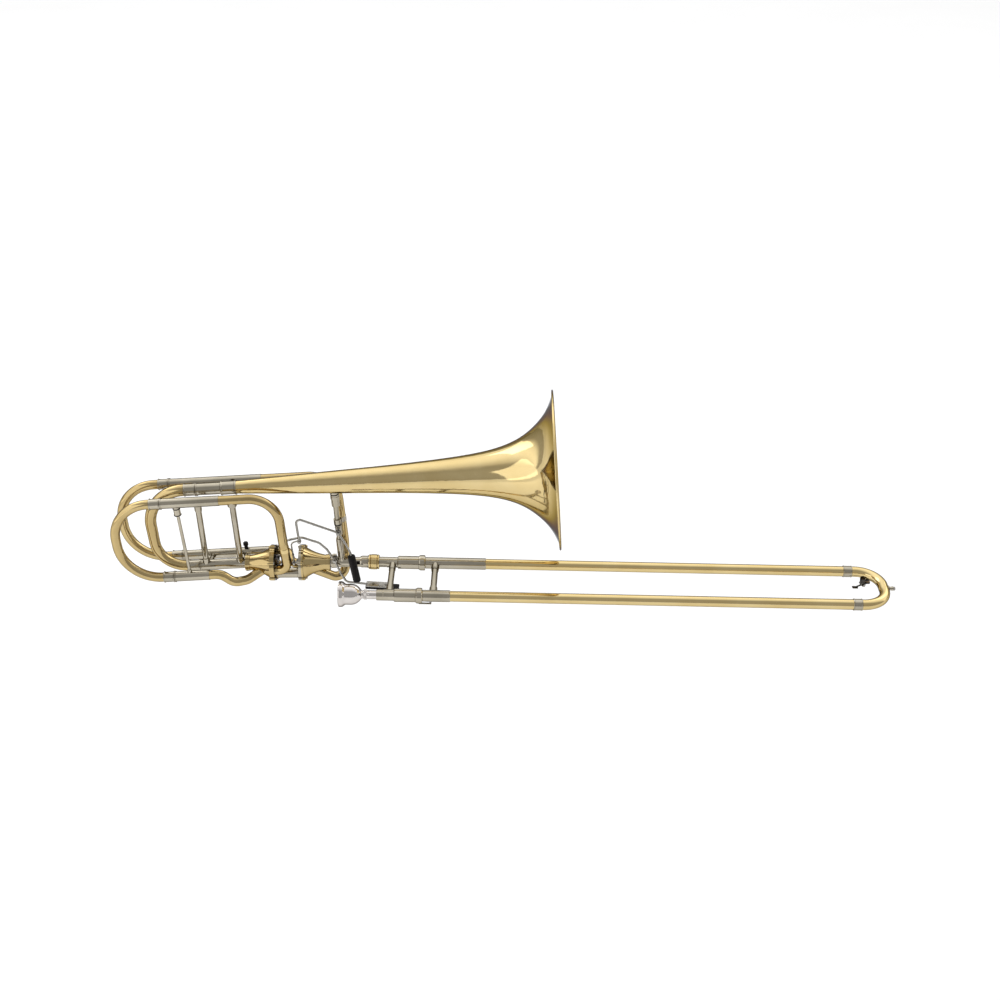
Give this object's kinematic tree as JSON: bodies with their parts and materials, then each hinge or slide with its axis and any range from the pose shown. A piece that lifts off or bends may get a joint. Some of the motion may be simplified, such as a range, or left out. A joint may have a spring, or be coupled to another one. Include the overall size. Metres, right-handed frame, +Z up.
{
  "type": "bass trombone",
  "caption": "Slide trombone with a flared brass bell, in-line conical valves worked by levers, tuning slides and a long hand slide.",
  "frame": {"origin": "middle of the left hand's brace on the inner slide", "axes": "+X along the slide towards its bow, +Z up with the bell above the slide, +Y towards the bell section"},
  "size_m": [1.2019, 0.2412, 0.3331],
  "materials": {
    "lacquered_brass": "clear-lacquered yellow brass, polished",
    "raw_brass": "unlacquered brass, machined",
    "nickel_silver": "lacquered nickel silver",
    "chrome_plate": "hard chrome on the sliding tubes",
    "silver_plate": "bright silver plate",
    "black_nickel": "black nickel plate",
    "steel": "steel wire and screws",
    "black_plastic": "satin black",
    "black_rubber": "matt rubber",
    "pale_rubber": "pale grey rubber",
    "felt": "pressed felt",
    "cork": "cut cork"
  },
  "bodies": {
    "bell_section": {"mouthpiece_receiver": "nickel_silver", "leadpipe": "raw_brass", "inner_slide_tubes": "chrome_plate", "cork_barrels": "nickel_silver", "barrel_bumpers": "felt", "slide_tenon": "nickel_silver", "inner_hand_brace": "nickel_silver", "bell": "lacquered_brass", "bell_rim_wire": "lacquered_brass", "bell_ferrule": "nickel_silver", "main_sleeves": "nickel_silver", "f_sleeves": "nickel_silver", "gflat_sleeves": "nickel_silver", "f_gooseneck": "lacquered_brass", "f_return_tube": "lacquered_brass", "gflat_gooseneck": "lacquered_brass", "gflat_return_tube": "lacquered_brass", "f_valve_casing": "lacquered_brass", "f_valve_back_plate": "nickel_silver", "gflat_valve_casing": "lacquered_brass", "gflat_valve_back_plate": "lacquered_brass", "stop_bumpers": "black_rubber", "valve_connecting_tube": "nickel_silver", "neckpipe": "nickel_silver", "bell_brace": "nickel_silver", "loop_braces": "nickel_silver", "lever_hinge_pins": "steel", "lever_springs": "steel"},
    "outer_slide": {"outer_slide_tubes": "lacquered_brass", "outer_sleeves": "nickel_silver", "outer_hand_brace": "nickel_silver", "slide_bow": "lacquered_brass", "slide_bow_ferrules": "nickel_silver", "bumper_holder": "nickel_silver", "bumper_tip": "pale_rubber", "slide_lock_lug": "nickel_silver", "water_key_saddle": "black_nickel", "water_key_screw": "steel", "water_key_spring": "steel"},
    "water_key": {"water_key_lever": "black_nickel", "water_key_cork": "cork"},
    "mouthpiece": {"mouthpiece": "silver_plate"},
    "lock_nut": {"lock_nut": "lacquered_brass"},
    "slide_lock": {"slide_lock_ring": "nickel_silver"},
    "main_tuning_slide": {"main_slide_legs": "nickel_silver", "main_tuning_bow": "lacquered_brass"},
    "f_tuning_slide": {"f_slide_legs": "nickel_silver", "f_tuning_bow": "lacquered_brass"},
    "gflat_tuning_slide": {"gflat_slide_legs": "nickel_silver", "gflat_tuning_bow": "lacquered_brass"},
    "thumb_lever": {"thumb_lever": "steel", "thumb_grip": "black_plastic"},
    "finger_lever": {"finger_lever": "steel", "finger_pad": "black_plastic"},
    "f_rotor": {"f_valve_rotor": "raw_brass", "f_stop_arm": "steel"},
    "gflat_rotor": {"gflat_valve_rotor": "raw_brass", "gflat_stop_arm": "steel"},
    "f_link": {"f_link_rod": "steel"},
    "gflat_link": {"gflat_link_rod": "steel"}
  },
  "joints": [
    {"name": "outer_slide_extend", "type": "slide", "parent": "bell_section", "child": "outer_slide", "axis": [1, 0, 0], "range_m": [0, 0.58]},
    {"name": "water_key_press", "type": "hinge", "parent": "outer_slide", "child": "water_key", "pos_m": [0.7285, 0.0326, -0.0144], "axis": [-0.3714, 0.9285, 0], "range_deg": [0, 24], "stiffness_Nm_per_rad": 0.02, "springref_deg": -22.92},
    {"name": "mouthpiece_pull", "type": "slide", "parent": "bell_section", "child": "mouthpiece", "axis": [-1, 0, 0], "range_m": [0, 0.06]},
    {"name": "lock_nut_turn", "type": "hinge", "parent": "bell_section", "child": "lock_nut", "pos_m": [-0.029, 0.045, 0], "axis": [1, 0, 0], "continuous": true},
    {"name": "slide_lock_turn", "type": "hinge", "parent": "bell_section", "child": "slide_lock", "pos_m": [0.0456, -0.045, 0], "axis": [1, 0, 0], "range_deg": [0, 22]},
    {"name": "main_tuning_pull", "type": "slide", "parent": "bell_section", "child": "main_tuning_slide", "axis": [-0.9964, 0, -0.0852], "range_m": [0, 0.045]},
    {"name": "f_tuning_pull", "type": "slide", "parent": "bell_section", "child": "f_tuning_slide", "axis": [-0.9964, 0, -0.0852], "range_m": [0, 0.08]},
    {"name": "gflat_tuning_pull", "type": "slide", "parent": "bell_section", "child": "gflat_tuning_slide", "axis": [-0.9964, 0, -0.0852], "range_m": [0, 0.04]},
    {"name": "thumb_lever_press", "type": "hinge", "parent": "bell_section", "child": "thumb_lever", "pos_m": [-0.08231, 0.0355, 0.05843], "axis": [0, -1, 0], "range_deg": [0, 13.38], "stiffness_Nm_per_rad": 0.15, "springref_deg": -28.65},
    {"name": "finger_lever_press", "type": "hinge", "parent": "bell_section", "child": "finger_lever", "pos_m": [-0.08918, 0.033, 0.00967], "axis": [0, -1, 0], "range_deg": [0, 7.96], "stiffness_Nm_per_rad": 0.2, "springref_deg": -28.65},
    {"name": "f_rotor_turn", "type": "hinge", "parent": "bell_section", "child": "f_rotor", "pos_m": [-0.11895, 0.045, -0.00288], "axis": [0.9995, 0, 0.032], "range_deg": [0, 65]},
    {"name": "gflat_rotor_turn", "type": "hinge", "parent": "bell_section", "child": "gflat_rotor", "pos_m": [-0.20691, 0.045, -0.00569], "axis": [-0.9995, 0, -0.032], "range_deg": [0, 65]},
    {"name": "f_link_swing", "type": "hinge", "parent": "thumb_lever", "child": "f_link", "pos_m": [-0.14215, 0.032, 0.04227], "axis": [0, -1, 0], "range_deg": [-24.4, 0]},
    {"name": "gflat_link_swing", "type": "hinge", "parent": "finger_lever", "child": "gflat_link", "pos_m": [-0.17375, 0.057, 0.02451], "axis": [0, -1, 0], "range_deg": [-4, 0]}
  ],
  "couplings": [
    {"joint": "f_rotor_turn", "follows": "thumb_lever_press", "ratio": 4.8584},
    {"joint": "f_link_swing", "follows": "thumb_lever_press", "ratio": -1.5395},
    {"joint": "gflat_rotor_turn", "follows": "finger_lever_press", "ratio": 8.1615},
    {"joint": "gflat_link_swing", "follows": "finger_lever_press", "ratio": -0.49834}
  ]
}
